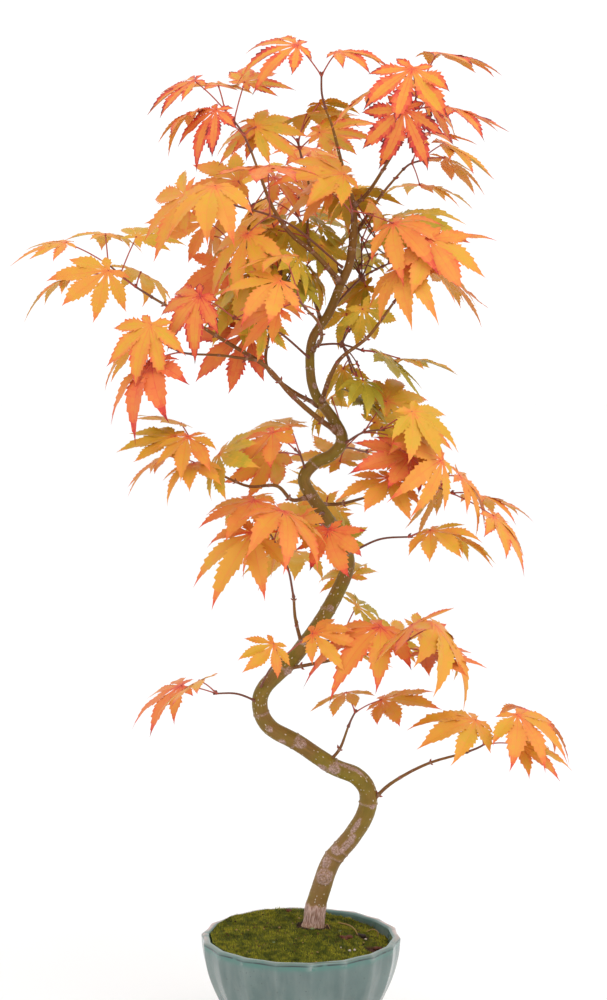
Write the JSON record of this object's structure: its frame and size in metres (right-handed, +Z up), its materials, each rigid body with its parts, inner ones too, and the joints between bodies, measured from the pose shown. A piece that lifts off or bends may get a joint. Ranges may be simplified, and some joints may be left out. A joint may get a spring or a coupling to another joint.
{
  "type": "bonsai japanese maple",
  "caption": "Bonsai Japanese maple with a serpentine trunk and orange autumn leaves, growing from moss in a fluted bowl of celadon glazed stoneware.",
  "frame": {"origin": "centre of the flat underside of the pot", "axes": "+Z up, +X to the right of the tree's front, +Y to its back"},
  "size_m": [0.332, 0.3048, 0.6118],
  "materials": {
    "glaze": "gloss",
    "moss": "matte",
    "bark": "satin",
    "leaf_gold": "matte",
    "leaf_orange": "matte",
    "leaf_flame": "matte",
    "leaf_olive": "matte"
  },
  "bodies": {
    "root": {"pot": "glaze", "soil_and_moss": "moss", "trunk_1": "bark", "trunk_2": "bark", "trunk_3": "bark", "trunk_4": "bark", "trunk_5": "bark", "trunk_6": "bark", "trunk_7": "bark", "bough_low_right": "bark", "bough_low_mid": "bark", "bough_right_lower": "bark", "bough_mid_left": "bark", "bough_right_upper": "bark", "bough_left_upper": "bark", "bough_left_crown": "bark", "bough_left_crown_low": "bark", "bough_left_inner": "bark", "bough_left_thin": "bark", "bough_right_crown": "bark", "bough_left_top": "bark", "bough_top_mid": "bark", "bough_right_top": "bark", "bough_right_back": "bark", "bough_crown_back": "bark", "bough_crown_front": "bark", "leaves_low_right": "leaf_gold", "leaves_low_mid": "leaf_orange", "leaves_right_lower": "leaf_orange", "leaves_left_low": "leaf_orange", "leaves_left_low_2": "leaf_orange", "leaves_mid_left": "leaf_flame", "leaves_mid_right": "leaf_orange", "leaves_mid_front": "leaf_flame", "leaves_right_upper": "leaf_orange", "leaves_left_upper": "leaf_gold", "leaves_neck_left": "leaf_orange", "leaves_neck_right": "leaf_gold", "leaves_left_crown": "leaf_gold", "leaves_left_crown_low": "leaf_flame", "leaves_left_inner": "leaf_olive", "leaves_left_thin": "leaf_flame", "leaves_right_crown": "leaf_orange", "leaves_left_top": "leaf_orange", "leaves_top_mid": "leaf_gold", "leaves_right_top": "leaf_flame", "leaves_right_back": "leaf_gold", "leaves_crown_back": "leaf_gold", "leaves_crown_front": "leaf_gold", "leaves_tip": "leaf_orange", "leaves_upper_front": "leaf_orange", "leaves_upper_left": "leaf_orange", "leaves_right_olive": "leaf_olive", "leaves_right_mid": "leaf_olive", "leaves_left_mid": "leaf_flame", "leaves_back_low": "leaf_olive", "leaves_back_mid": "leaf_gold", "leaves_back_neck": "leaf_gold"}
  },
  "joints": []
}
